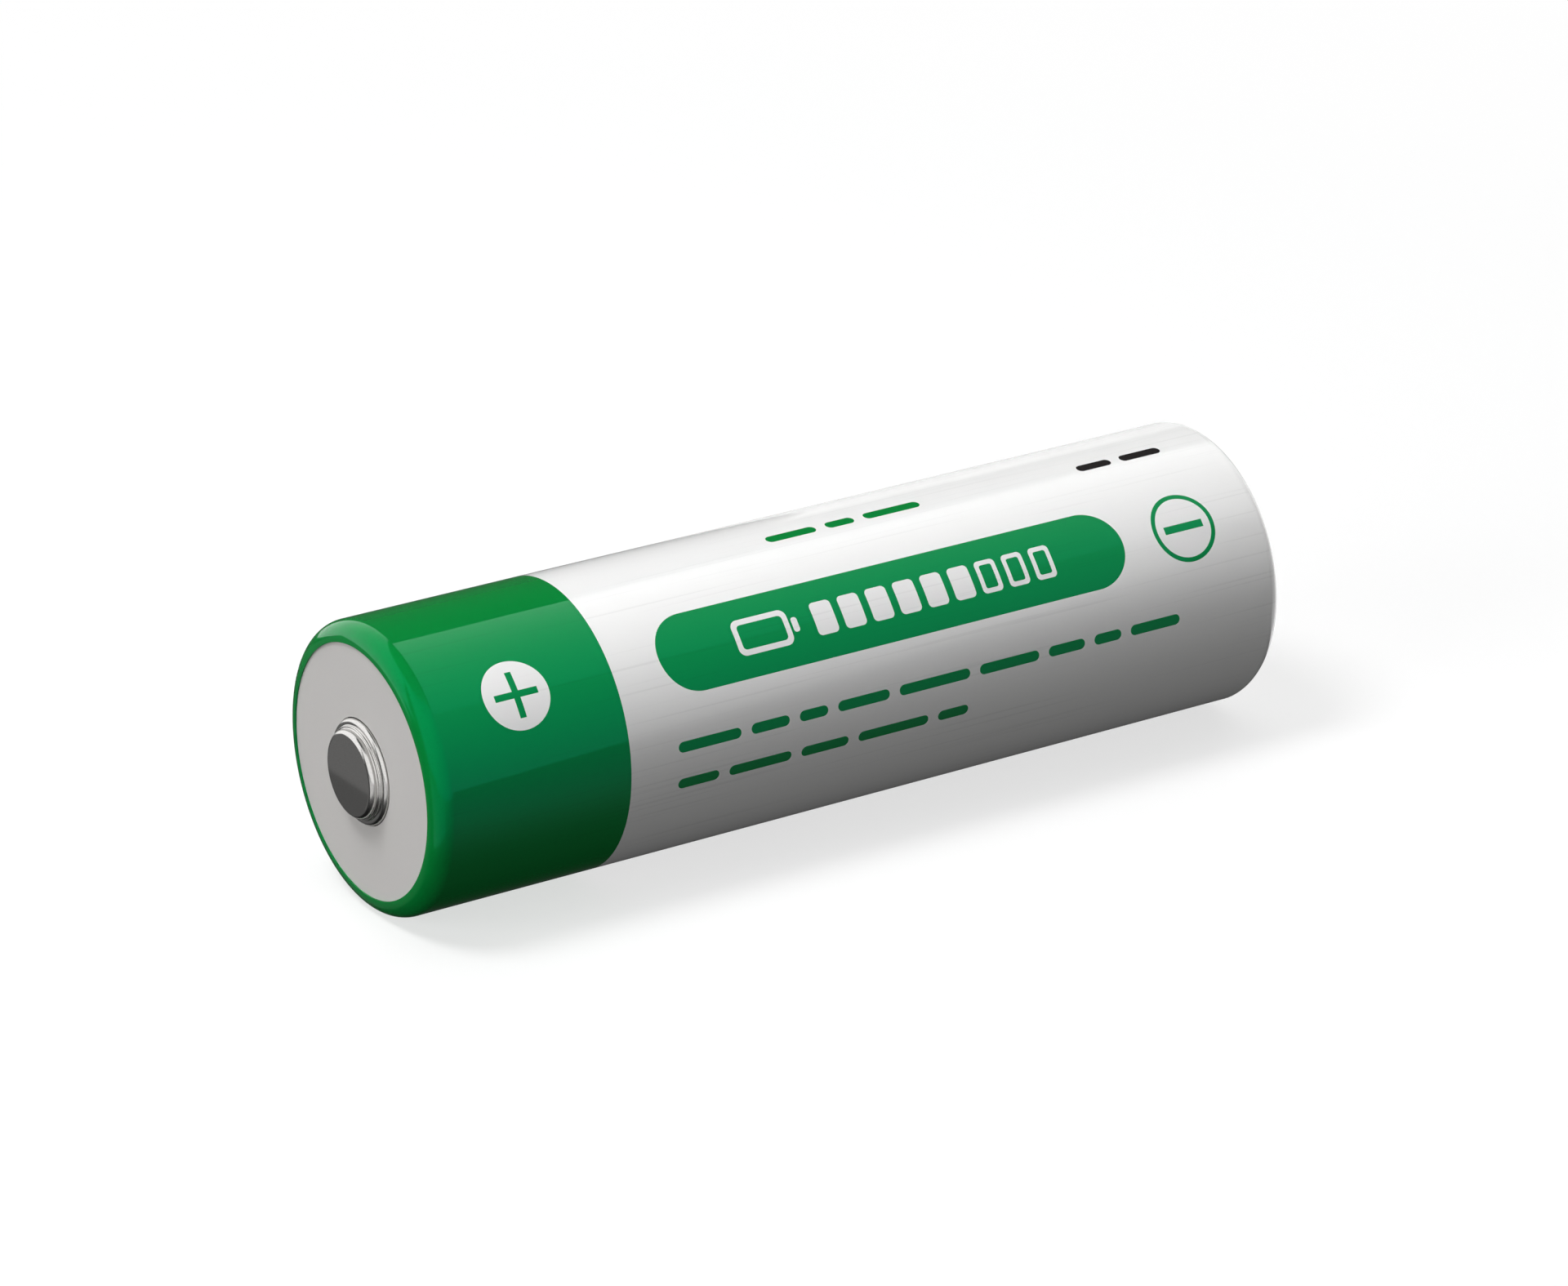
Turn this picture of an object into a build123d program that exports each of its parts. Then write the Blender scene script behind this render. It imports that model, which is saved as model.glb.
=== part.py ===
"""Button-top cylindrical lithium cell of the 21700 size, with a current interrupt and a protection board.

Every piece is drawn standing on its negative end, about the Z axis, with heights measured up from the
negative contact's face. place() then lays it on its side: the positive end points along -Y, the cell
rests on z = 0, and the origin is on that plane under the middle of the cell's length.
"""
from build123d import *

import os

# ---- Overall size, mm ------------------------------------------------------------------------------
CELL_RADIUS = 10.7
CELL_LENGTH = 73.15
FIT_GAP = 0.01  # between two pieces that fit closely

# ---- Sleeve ----------------------------------------------------------------------------------------
SLEEVE_THICKNESS = 0.10
FOLD_TOP = 72.20  # top of the fold at the positive end
FOLD_BOTTOM = 0.05  # underside of the fold at the negative end
SHOULDER_ROUND = 1.40
HEEL_ROUND = 1.04
TOP_FOLD_RADIUS = 9.264
BOTTOM_FOLD_RADIUS = 8.40

# ---- Steel can -------------------------------------------------------------------------------------
CAN_RADIUS = 10.38
CAN_WALL = 0.25
CAN_FLOOR_THICKNESS = 0.35
CAN_BASE = 1.70
CAN_HEEL_BEND = 0.80
GROOVE_LOW = 68.00
GROOVE_HIGH = 69.30
GROOVE_RADIUS = 8.99
GROOVE_EDGE_BEND = 0.30
GROOVE_BEND = 0.60
CRIMP_TOP = 71.50
CRIMP_BEND = 1.075
CRIMP_INNER_RADIUS = 7.90
CRIMP_RING_INNER = 5.60
CRIMP_RING_OUTER = 9.00
CRIMP_RING_THICKNESS = 0.20

# ---- Cap assembly held in the crimp ----------------------------------------------------------------
RIM_RADIUS = 9.65
VENT_THICKNESS = 0.30
VENT_RIM_BASE = 69.80
VENT_SLOPE_OUTER = 6.00
VENT_SLOPE_INNER = 2.00
VENT_BEND = 0.80
SCORE_RADIUS = 5.20
SCORE_TIP = 69.81
SCORE_DEPTH = 0.32
SCORE_HALF_WIDTH = 0.15
PTC_THICKNESS = 0.30
PTC_INNER_RADIUS = 6.30
CAP_THICKNESS = 0.40
CAP_RISE = 0.72
CAP_SLOPE_OUTER = 6.00
CAP_SLOPE_INNER = 5.30
CAP_BEND = 0.35
CAP_WINDOWS = 4
WINDOW_RADIUS = 5.80
WINDOW_LENGTH = 1.60
WINDOW_WIDTH = 2.40
WINDOW_HEIGHT = 0.40
GASKET_LOWER_INNER = 8.20
GASKET_UPPER_INNER = 7.40
GASKET_LOWER_THICKNESS = 0.36
PLATE_BASE = 68.75
PLATE_THICKNESS = 0.40
PLATE_RADIUS = 7.00
PLATE_THIN_RADIUS = 2.20
PLATE_HOLES = 6
PLATE_HOLE_RADIUS = 0.55
PLATE_HOLE_CIRCLE = 4.40
SEAT_RING_INNER = 6.20
SEAT_RING_WALL = 0.55
SLUG_RADIUS = 1.20
SLUG_THICKNESS = 0.20
TEAR_GAP = 0.05

# ---- Button and cover washer -----------------------------------------------------------------------
BUTTON_SHEET = 0.25
BUTTON_FLANGE_RADIUS = 5.00
BUTTON_STEP_RADIUS = 3.85
BUTTON_STEP_TOP = 72.42
BUTTON_NUB_RADIUS = 3.20
BUTTON_BENDS = [0.20, 0.18, 0.16, 0.24]  # from the flange up to the face
WASHER_TOP = 72.09
WASHER_BASE = 71.90
WASHER_HOLE_RADIUS = 3.92
WASHER_RIM_SWEEP = 28.0  # degrees of the shoulder that the rim is drawn round

# ---- Strip from the button to the board, and its tape ----------------------------------------------
STRIP_THICKNESS = 0.08
STRIP_WIDTH = 4.0
STRIP_TOP_END = 4.15
STRIP_BOARD_END = 8.20
STRIP_SHOULDER_BEND = 1.31
STRIP_HEEL_BEND = 0.60
STRIP_TAPE_THICKNESS = 0.05
STRIP_TAPE_WIDTH = 8.0
STRIP_TAPE_END = 5.70
STRIP_TAPE_BEND = 1.24
STRIP_ANGLE = 200.0  # degrees round the cell, from +X towards the top

# ---- Jelly roll: four strips wound together --------------------------------------------------------
PITCH = 0.50
CORE_RADIUS = 2.00
HALF_TURNS = 30
SEPARATOR_THICKNESS = 0.04
CATHODE_THICKNESS = 0.17
ANODE_THICKNESS = 0.18
LAYER_GAP = 0.0175
ROLL_BASE = 2.60
ROLL_TOP = 66.00
ANODE_INSET = 0.60  # how far the anode stops short of the separators, at each end
CATHODE_INSET = 1.40
WINDING_TAPE_THICKNESS = 0.05
WINDING_TAPE_INSET = 5.0
PIN_RADIUS = 1.70
PIN_WALL = 0.20
PIN_SHORTFALL = 0.50
PIN_SPLIT = 0.35

# ---- Tabs and insulators at the ends of the roll ---------------------------------------------------
TAB_THICKNESS = 0.10
TAB_WIDTH = 4.0
TAB_ROOM = 0.40  # extra width and height of the bare foil round a tab
TAB_OVERLAP = 11.0  # length of tab that lies against the bare foil
POSITIVE_TAB_HALF_TURN = 16
POSITIVE_TAB_END = 1.60
POSITIVE_TAB_BEND = 0.80
NEGATIVE_TAB_HALF_TURN = 28
NEGATIVE_TAB_END = 0.30
NEGATIVE_TAB_BEND = 0.40
INSULATOR_RADIUS = 9.90
INSULATOR_GAP = 0.20
TOP_INSULATOR_THICKNESS = 0.30
TOP_INSULATOR_HOLE = 1.20
BOTTOM_INSULATOR_THICKNESS = 0.20
BOTTOM_INSULATOR_HOLE = 1.40
TAB_SLOT_WIDTH = 5.0
TAB_SLOT_DEPTH = 1.2
GAS_HOLE_RADIUS = 0.60
GAS_HOLE_CIRCLE = 4.0

# ---- Protection board and negative contact ---------------------------------------------------------
CONTACT_SHEET = 0.25
CONTACT_RADIUS = 9.55
CONTACT_FACE_RADIUS = 7.15
CONTACT_SLOPE = 0.35
CONTACT_RISE = 0.15
CONTACT_BEND = 0.30
BOARD_RADIUS = 9.90
BOARD_THICKNESS = 0.50
BOARD_NOTCH_RADIUS = 0.90
BOARD_NOTCH_ANGLE = 20.0
BOARD_PAPER_THICKNESS = 0.15
BOARD_PAPER_HOLE = 4.60
BOARD_TAB_BEND = 0.20
LEAD_THICKNESS = 0.12
LEAD_WIDTH = 0.35
LEAD_REACH = 0.40
SOLDER_GAP = 0.02

# ---- Worked out from the values above --------------------------------------------------------------
CATHODE_LAYER = SEPARATOR_THICKNESS + LAYER_GAP  # how far each layer lies out from the first
OUTER_SEPARATOR_LAYER = CATHODE_LAYER + CATHODE_THICKNESS + LAYER_GAP
ANODE_LAYER = OUTER_SEPARATOR_LAYER + SEPARATOR_THICKNESS + LAYER_GAP
CAN_FLOOR = CAN_BASE + CAN_FLOOR_THICKNESS
PTC_BASE = VENT_RIM_BASE + VENT_THICKNESS
CAP_BASE = PTC_BASE + PTC_THICKNESS
CAP_TOP = CAP_BASE + CAP_RISE + CAP_THICKNESS
FLANGE_TOP = CAP_TOP + BUTTON_SHEET
PLATE_TOP = PLATE_BASE + PLATE_THICKNESS
TAPE_SIDE = CAN_RADIUS + FIT_GAP + STRIP_TAPE_THICKNESS / 2
STRIP_SIDE = TAPE_SIDE + (STRIP_TAPE_THICKNESS + STRIP_THICKNESS + FIT_GAP) / 2
BOARD_TOP = CONTACT_RISE + CONTACT_SHEET + BOARD_THICKNESS
UPRIGHT = (Align.CENTER, Align.CENTER, Align.MIN)  # drawn upwards from a height


# ---- Ways to make a piece --------------------------------------------------------------------------
def ring(inner_radius, outer_radius, low, high):
    """Plain flat ring, or a disc when the inner radius is 0."""
    body = Cylinder(outer_radius, high - low, align=UPRIGHT)
    if inner_radius > 0:
        body -= Cylinder(inner_radius, high - low, align=UPRIGHT)
    return Pos(0, 0, low) * body


def turned(*corners):
    """Solid of revolution; each corner is (radius, height) or (radius, height, corner round)."""
    outline = make_face(Polyline(*[corner[:2] for corner in corners], close=True))
    for radius, height, corner_round in [corner for corner in corners if len(corner) == 3]:
        nearest = outline.vertices().sort_by_distance((radius, height))[0]
        outline = fillet(nearest, corner_round)
    return revolve(Plane.XZ * outline, Axis.Z)


def pressed(points, bends, thickness):
    """Round pressed sheet of one thickness; the points follow the middle of the sheet."""
    return revolve(Plane.XZ * trace(FilletPolyline(*points, radius=bends), thickness), Axis.Z)


def bent_strip(points, bends, thickness, width):
    """Straight bent strip of one thickness; the points (x, height) follow the middle of the strip."""
    section = trace(FilletPolyline(*points, radius=bends), thickness)
    return extrude(Plane.XZ * section, width / 2, both=True)


def slab(width, angle):
    """Long block that reaches out from the axis at one angle; it trims a turned shape to a strip."""
    block = Box(2 * CELL_RADIUS, width, 2 * CELL_LENGTH, align=(Align.MIN, Align.CENTER, Align.CENTER))
    return Rot(0, 0, angle) * block


def around(count, radius, solid):
    """Copies of a solid spaced evenly on a circle about the axis."""
    return [Rot(0, 0, 360 * i / count) * Pos(radius, 0, 0) * solid for i in range(count)]


def without(solid, openings):
    """The solid with every opening cut from it."""
    for opening in openings:
        solid -= opening
    return solid


def place(solid):
    """Lays a piece on its side, in the frame of the finished cell."""
    return Pos(0, CELL_LENGTH / 2, CELL_RADIUS) * Rot(90, 0, 0) * solid


# ---- Outside: sleeve, washer and the two contacts --------------------------------------------------
def shrink_sleeve():
    """Printed film round the whole cell, with both ends folded in over the shoulders."""
    half = SLEEVE_THICKNESS / 2
    side = CELL_RADIUS - half
    points = [
        (TOP_FOLD_RADIUS, FOLD_TOP - half),
        (side, FOLD_TOP - half),
        (side, FOLD_BOTTOM + half),
        (BOTTOM_FOLD_RADIUS, FOLD_BOTTOM + half),
    ]
    return pressed(points, [SHOULDER_ROUND - half, HEEL_ROUND - half], SLEEVE_THICKNESS)


def cover_washer():
    """Flat paper washer whose rim is drawn down over the shoulder by the sleeve."""
    half = (WASHER_TOP - WASHER_BASE) / 2
    bend_radius = SHOULDER_ROUND - SLEEVE_THICKNESS - FIT_GAP - half
    bend_centre = CELL_RADIUS - SHOULDER_ROUND
    middle = WASHER_BASE + half
    flat = Line((WASHER_HOLE_RADIUS, middle), (bend_centre, middle))
    rim = CenterArc((bend_centre, middle - bend_radius), bend_radius, 90, -WASHER_RIM_SWEEP)
    return revolve(Plane.XZ * trace(Wire([flat, rim]), 2 * half), Axis.Z)


def button_contact():
    """Stamped button: a flange on the cap, a wide step, and the nub that touches the device."""
    half = BUTTON_SHEET / 2
    step = BUTTON_STEP_RADIUS - half
    nub = BUTTON_NUB_RADIUS - half
    points = [
        (BUTTON_FLANGE_RADIUS, CAP_TOP + half),
        (step, CAP_TOP + half),
        (step, BUTTON_STEP_TOP - half),
        (nub, BUTTON_STEP_TOP - half),
        (nub, CELL_LENGTH - half),
        (0, CELL_LENGTH - half),
    ]
    return pressed(points, BUTTON_BENDS, BUTTON_SHEET)


def negative_contact():
    """Pressed disc under the board; its raised middle is the negative terminal."""
    half = CONTACT_SHEET / 2
    points = [
        (CONTACT_RADIUS, CONTACT_RISE + half),
        (CONTACT_FACE_RADIUS + CONTACT_SLOPE, CONTACT_RISE + half),
        (CONTACT_FACE_RADIUS, half),
        (0, half),
    ]
    return pressed(points, CONTACT_BEND, CONTACT_SHEET)


# ---- Strip from the positive end down to the board -------------------------------------------------
def sense_strip():
    """Nickel strip welded to the button's flange, run down the side and soldered to the board."""
    half = STRIP_THICKNESS / 2
    points = [
        (STRIP_TOP_END, FLANGE_TOP + half),
        (STRIP_SIDE, FLANGE_TOP + half),
        (STRIP_SIDE, BOARD_TOP + half),
        (STRIP_BOARD_END, BOARD_TOP + half),
    ]
    whole = pressed(points, [STRIP_SHOULDER_BEND, STRIP_HEEL_BEND], STRIP_THICKNESS)
    return whole & slab(STRIP_WIDTH, STRIP_ANGLE)


def strip_insulation_tape():
    """Film tape that keeps the strip off the can, which is at the other polarity."""
    top = FLANGE_TOP - (FIT_GAP + STRIP_TAPE_THICKNESS) / 2
    points = [(STRIP_TAPE_END, top), (TAPE_SIDE, top), (TAPE_SIDE, CAN_BASE + TAB_THICKNESS)]
    whole = pressed(points, [STRIP_TAPE_BEND], STRIP_TAPE_THICKNESS)
    return whole & slab(STRIP_TAPE_WIDTH, STRIP_ANGLE)


def crimp_insulator_ring():
    """Fibre ring that keeps the strip and the washer off the crimped edge of the can."""
    return ring(CRIMP_RING_INNER, CRIMP_RING_OUTER, CRIMP_TOP, CRIMP_TOP + CRIMP_RING_THICKNESS)


# ---- Can and crimp seal ----------------------------------------------------------------------------
def steel_can():
    """Drawn can with the groove that carries the cap assembly and the crimp rolled over it."""
    half = CAN_WALL / 2
    side = CAN_RADIUS - half
    floor_radius = CAN_RADIUS - 2 * CAN_HEEL_BEND
    points = [
        (floor_radius - half, CAN_BASE + half),
        (side, CAN_BASE + half),
        (side, GROOVE_LOW),
        (GROOVE_RADIUS, GROOVE_LOW),
        (GROOVE_RADIUS, GROOVE_HIGH),
        (side, GROOVE_HIGH),
        (side, CRIMP_TOP - half),
        (CRIMP_INNER_RADIUS, CRIMP_TOP - half),
    ]
    groove_bends = [GROOVE_EDGE_BEND, GROOVE_BEND, GROOVE_BEND, GROOVE_EDGE_BEND]
    wall = pressed(points, [CAN_HEEL_BEND, *groove_bends, CRIMP_BEND], CAN_WALL)
    return wall + ring(0, floor_radius, CAN_BASE, CAN_FLOOR)


def crimp_gasket():
    """Channel ring that seals the cap assembly to the can and keeps the two apart."""
    outer = CAN_RADIUS - CAN_WALL - 2 * FIT_GAP
    inner = RIM_RADIUS + 3 * FIT_GAP
    top = CRIMP_TOP - CAN_WALL - FIT_GAP
    lower_face = VENT_RIM_BASE - FIT_GAP
    upper_face = CAP_BASE + CAP_THICKNESS + FIT_GAP
    base = lower_face - GASKET_LOWER_THICKNESS
    return turned(
        (GASKET_LOWER_INNER, base),
        (outer, base, GROOVE_EDGE_BEND - CAN_WALL / 2 + 2 * FIT_GAP),
        (outer, top, CRIMP_BEND - CAN_WALL / 2),
        (GASKET_UPPER_INNER, top),
        (GASKET_UPPER_INNER, upper_face),
        (inner, upper_face),
        (inner, lower_face),
        (GASKET_LOWER_INNER, lower_face),
    )


# ---- Cap assembly ----------------------------------------------------------------------------------
def top_cap():
    """Steel cap with vent windows in its sloped wall."""
    half = CAP_THICKNESS / 2
    points = [
        (RIM_RADIUS, CAP_BASE + half),
        (CAP_SLOPE_OUTER, CAP_BASE + half),
        (CAP_SLOPE_INNER, CAP_BASE + CAP_RISE + half),
        (0, CAP_BASE + CAP_RISE + half),
    ]
    cap = pressed(points, CAP_BEND, CAP_THICKNESS)
    window_height = CAP_BASE + CAP_RISE / 2 + half
    window = Pos(0, 0, window_height) * Box(WINDOW_LENGTH, WINDOW_WIDTH, WINDOW_HEIGHT)
    return without(cap, around(CAP_WINDOWS, WINDOW_RADIUS, window))


def ptc_ring():
    """Resettable fuse ring between the vent disc and the cap."""
    return ring(PTC_INNER_RADIUS, RIM_RADIUS, PTC_BASE, PTC_BASE + PTC_THICKNESS)


def vent_disc():
    """Dished aluminium disc with a scored ring; its middle is welded to the slug below."""
    half = VENT_THICKNESS / 2
    points = [
        (RIM_RADIUS, VENT_RIM_BASE + half),
        (VENT_SLOPE_OUTER, VENT_RIM_BASE + half),
        (VENT_SLOPE_INNER, PLATE_TOP + half),
        (0, PLATE_TOP + half),
    ]
    score = turned(
        (SCORE_RADIUS, SCORE_TIP),
        (SCORE_RADIUS + SCORE_HALF_WIDTH, SCORE_TIP + SCORE_DEPTH),
        (SCORE_RADIUS - SCORE_HALF_WIDTH, SCORE_TIP + SCORE_DEPTH),
    )
    return pressed(points, VENT_BEND, VENT_THICKNESS) - score


def interrupter_insulator():
    """L-shaped ring that centres the plate under the vent disc and keeps their rims apart."""
    lip = PLATE_RADIUS + TEAR_GAP
    return turned(
        (lip, PLATE_BASE),
        (lip + SEAT_RING_WALL, PLATE_BASE),
        (lip + SEAT_RING_WALL, VENT_RIM_BASE),
        (SEAT_RING_INNER, VENT_RIM_BASE),
        (SEAT_RING_INNER, PLATE_TOP),
        (lip, PLATE_TOP),
    )


def interrupter_plate():
    """Plate under the vent disc, with gas holes and a thinned middle round the weld slug."""
    plate = ring(SLUG_RADIUS + TEAR_GAP, PLATE_RADIUS, PLATE_BASE, PLATE_TOP)
    plate -= ring(0, PLATE_THIN_RADIUS, PLATE_TOP - SLUG_THICKNESS, PLATE_TOP)
    hole = ring(0, PLATE_HOLE_RADIUS, PLATE_BASE, PLATE_TOP)
    return without(plate, around(PLATE_HOLES, PLATE_HOLE_CIRCLE, hole))


def weld_slug():
    """Middle of the plate, welded to the vent disc; pressure tears it out and lifts it."""
    return ring(0, SLUG_RADIUS, PLATE_TOP - SLUG_THICKNESS, PLATE_TOP)


# ---- Jelly roll ------------------------------------------------------------------------------------
def half_turn_radius(index, layer):
    """Radius of the inner face of one layer on one half turn of the spiral."""
    return CORE_RADIUS + index * PITCH / 2 + layer


def half_turn(index, layer):
    """Semicircle: even ones lie above the X axis, odd ones below it about a centre half a pitch along."""
    radius = half_turn_radius(index, layer)
    if index % 2 == 0:
        return CenterArc((0, 0), radius, 0, 180)
    return CenterArc((PITCH / 2, 0), radius, 180, 180)


def wound(layer, thickness, first, last, low, high):
    """Strip wound as a spiral of tangent semicircles, from half turn `first` up to `last`."""
    inner = [half_turn(i, layer) for i in range(first, last)]
    outer = [half_turn(i, layer + thickness) for i in range(first, last)]
    ends = [Line(inner[0] @ 0, outer[0] @ 0), Line(inner[-1] @ 1, outer[-1] @ 1)]
    return Pos(0, 0, low) * extrude(make_face(inner + outer + ends), high - low)


def bare_patch(layer, thickness, index, low, high):
    """Room left in a coated strip where a tab lies against its foil."""
    inner = half_turn_radius(index, layer) - LAYER_GAP / 2
    return ring(inner, inner + thickness + LAYER_GAP, low, high) & slab(TAB_WIDTH + TAB_ROOM, 90)


def separator_inner():
    return wound(0, SEPARATOR_THICKNESS, 0, HALF_TURNS, ROLL_BASE, ROLL_TOP)


def separator_outer():
    return wound(OUTER_SEPARATOR_LAYER, SEPARATOR_THICKNESS, 0, HALF_TURNS, ROLL_BASE, ROLL_TOP)


def cathode_strip():
    low = ROLL_BASE + CATHODE_INSET
    high = ROLL_TOP - CATHODE_INSET
    strip = wound(CATHODE_LAYER, CATHODE_THICKNESS, 1, HALF_TURNS - 2, low, high)
    layer = (CATHODE_LAYER, CATHODE_THICKNESS, POSITIVE_TAB_HALF_TURN)
    return strip - bare_patch(*layer, high - TAB_OVERLAP, high)


def anode_strip():
    low = ROLL_BASE + ANODE_INSET
    high = ROLL_TOP - ANODE_INSET
    strip = wound(ANODE_LAYER, ANODE_THICKNESS, 1, HALF_TURNS - 1, low, high)
    layer = (ANODE_LAYER, ANODE_THICKNESS, NEGATIVE_TAB_HALF_TURN)
    return strip - bare_patch(*layer, low, low + TAB_OVERLAP)


def winding_tape():
    """One turn of tape that closes the roll."""
    low = ROLL_BASE + WINDING_TAPE_INSET
    high = ROLL_TOP - WINDING_TAPE_INSET
    return wound(0, WINDING_TAPE_THICKNESS, HALF_TURNS, HALF_TURNS + 2, low, high)


def positive_tab():
    """Aluminium tab from the cathode up to the underside of the interrupter plate."""
    side = half_turn_radius(POSITIVE_TAB_HALF_TURN, CATHODE_LAYER + CATHODE_THICKNESS / 2)
    top = PLATE_BASE - FIT_GAP - TAB_THICKNESS / 2
    start = ROLL_TOP - CATHODE_INSET - TAB_OVERLAP + TAB_ROOM
    points = [(side, start), (side, top), (POSITIVE_TAB_END, top)]
    return pressed(points, [POSITIVE_TAB_BEND], TAB_THICKNESS) & slab(TAB_WIDTH, 90)


def negative_tab():
    """Nickel tab from the anode down to the middle of the can's floor."""
    side = half_turn_radius(NEGATIVE_TAB_HALF_TURN, ANODE_LAYER + ANODE_THICKNESS / 2)
    floor = CAN_FLOOR + TAB_THICKNESS / 2
    start = ROLL_BASE + ANODE_INSET + TAB_OVERLAP - TAB_ROOM
    points = [(side, start), (side, floor), (NEGATIVE_TAB_END, floor)]
    return pressed(points, [NEGATIVE_TAB_BEND], TAB_THICKNESS) & slab(TAB_WIDTH, 90)


def centre_pin():
    """Split tube that keeps the middle of the roll open."""
    pin = ring(PIN_RADIUS - PIN_WALL, PIN_RADIUS, ROLL_BASE, ROLL_TOP - PIN_SHORTFALL)
    return pin - Pos(PIN_RADIUS, 0, CELL_LENGTH / 2) * Box(3 * PIN_WALL, PIN_SPLIT, CELL_LENGTH)


def top_insulator():
    """Disc over the roll, with a slot for the tab and holes for gas and electrolyte."""
    low = ROLL_TOP + INSULATOR_GAP
    high = low + TOP_INSULATOR_THICKNESS
    tab_radius = half_turn_radius(POSITIVE_TAB_HALF_TURN, CATHODE_LAYER)
    slot = Pos(0, tab_radius, low) * Box(TAB_SLOT_WIDTH, TAB_SLOT_DEPTH, 1.0)
    hole = ring(0, GAS_HOLE_RADIUS, low, high)
    gas_holes = [Rot(0, 0, angle) * Pos(GAS_HOLE_CIRCLE, 0, 0) * hole for angle in (180, 225, 315, 0)]
    return without(ring(TOP_INSULATOR_HOLE, INSULATOR_RADIUS, low, high), [slot, *gas_holes])


def bottom_insulator():
    """Disc between the roll and the can's floor, with a notch where the tab comes round it."""
    low = CAN_FLOOR + INSULATOR_GAP
    disc = ring(BOTTOM_INSULATOR_HOLE, INSULATOR_RADIUS, low, low + BOTTOM_INSULATOR_THICKNESS)
    return disc - Pos(0, INSULATOR_RADIUS, low) * Box(TAB_SLOT_WIDTH, 2 * TAB_SLOT_DEPTH, 1.0)


# ---- Protection board ------------------------------------------------------------------------------
def board_insulator():
    """Paper ring between the can and the board's parts; the board's tab comes through its middle."""
    return ring(BOARD_PAPER_HOLE, INSULATOR_RADIUS, CAN_BASE - BOARD_PAPER_THICKNESS, CAN_BASE)


def protection_board():
    """Round board with two notches in its edge that locate it when it is soldered."""
    board = ring(0, BOARD_RADIUS, BOARD_TOP - BOARD_THICKNESS, BOARD_TOP)
    notch = ring(0, BOARD_NOTCH_RADIUS, 0, 2 * BOARD_TOP)
    notches = [
        Rot(0, 0, side * BOARD_NOTCH_ANGLE) * Pos(BOARD_RADIUS + BOARD_NOTCH_RADIUS / 4, 0, 0) * notch
        for side in (-1, 1)
    ]
    return without(board, notches)


def chip(length, width, height, leads):
    """Moulded package with flat leads along both long sides, standing on the board."""
    package = Pos(0, 0, BOARD_TOP + SOLDER_GAP) * Box(length, width, height, align=UPRIGHT)
    package = chamfer(package.edges().group_by(Axis.Z)[-1], height / 5)
    lead = Box(LEAD_WIDTH, width + 2 * LEAD_REACH, LEAD_THICKNESS, align=UPRIGHT)
    for i in range(leads):
        along = (i + 0.5) * length / leads - length / 2
        package += Pos(along, 0, BOARD_TOP) * lead
    return package


def power_switch_chips():
    body = chip(3.0, 2.6, 0.50, leads=4)
    return [Pos(-4.6, side * 3.2, 0) * body for side in (-1, 1)]


def protection_chip():
    return Pos(0.2, 5.2, 0) * chip(2.4, 1.4, 0.45, leads=3)


def block_part(length, width, height, cap_length):
    """Small two-ended part: a low body between two raised solder caps."""
    part = Box(length, 0.94 * width, 0.92 * height, align=UPRIGHT)
    for side in (-1, 1):
        part += Pos(side * (length - cap_length) / 2, 0, 0) * Box(cap_length, width, height, align=UPRIGHT)
    return Pos(0, 0, BOARD_TOP) * part


def chip_resistors():
    body = block_part(1.6, 0.8, 0.40, 0.30)
    return [Pos(3.6, y, 0) * body for y in (-4.2, 4.2, 5.8)]


def chip_capacitors():
    body = Rot(0, 0, 90) * block_part(1.6, 0.8, 0.55, 0.35)
    return [Pos(x, -5.6, 0) * body for x in (-1.2, 0.6)]


def board_tab():
    """Nickel tab welded under the can and soldered to the board."""
    half = TAB_THICKNESS / 2
    points = [
        (-3.4, CAN_BASE - half),
        (3.0, CAN_BASE - half),
        (3.6, BOARD_TOP + half),
        (6.0, BOARD_TOP + half),
    ]
    return bent_strip(points, BOARD_TAB_BEND, TAB_THICKNESS, TAB_WIDTH)


PIECES = [
    shrink_sleeve,
    cover_washer,
    button_contact,
    negative_contact,
    sense_strip,
    strip_insulation_tape,
    crimp_insulator_ring,
    steel_can,
    crimp_gasket,
    top_cap,
    ptc_ring,
    vent_disc,
    interrupter_insulator,
    interrupter_plate,
    weld_slug,
    separator_inner,
    separator_outer,
    cathode_strip,
    anode_strip,
    winding_tape,
    positive_tab,
    negative_tab,
    centre_pin,
    top_insulator,
    bottom_insulator,
    board_insulator,
    protection_board,
    power_switch_chips,
    protection_chip,
    chip_resistors,
    chip_capacitors,
    board_tab,
]

os.makedirs("parts", exist_ok=True)
for piece in PIECES:
    made = piece()
    solids = made if isinstance(made, list) else [made]
    placed = [place(solid) for solid in solids]
    shape = placed[0] if len(placed) == 1 else Compound(children=placed)
    export_step(shape, f"parts/{piece.__name__}.step")
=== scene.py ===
"""Looks of a button-top cylindrical battery cell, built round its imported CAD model.

The cell lies along Y with its positive end at -Y. Sizes are in millimetres and are turned into
Blender's metres where meshes, lights and the camera are made. A place round the cell is an angle:
0 degrees points along +X and 90 degrees points up.
"""

from math import atan2, ceil, cos, hypot, pi, radians, sin, tan

import bpy
from mathutils import Matrix, Vector
from mathutils.geometry import delaunay_2d_cdt


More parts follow.
